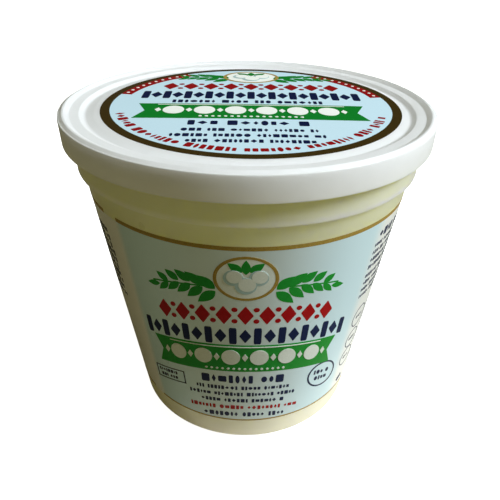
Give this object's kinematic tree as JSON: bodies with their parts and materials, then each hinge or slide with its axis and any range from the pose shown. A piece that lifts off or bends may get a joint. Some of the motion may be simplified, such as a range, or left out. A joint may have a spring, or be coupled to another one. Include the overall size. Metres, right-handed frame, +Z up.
{
  "type": "lidded cheese tub",
  "caption": "Shut round tapered plastic dairy tub with a stacking shoulder and a press-on lid with a recessed top, filled to the lid.",
  "frame": {"origin": "centre of the base, on the surface the tub stands on", "axes": "+Z up along the tub's axis of symmetry; -Y faces the front of the printed label"},
  "size_m": [0.172, 0.172, 0.162],
  "materials": {
    "tub_plastic": "satin, slightly milky polypropylene with a printed label moulded in",
    "lid_plastic": "satin white polyethylene with a printed disc"
  },
  "bodies": {
    "root": {"tub": "tub_plastic", "lid": "lid_plastic"}
  },
  "joints": []
}
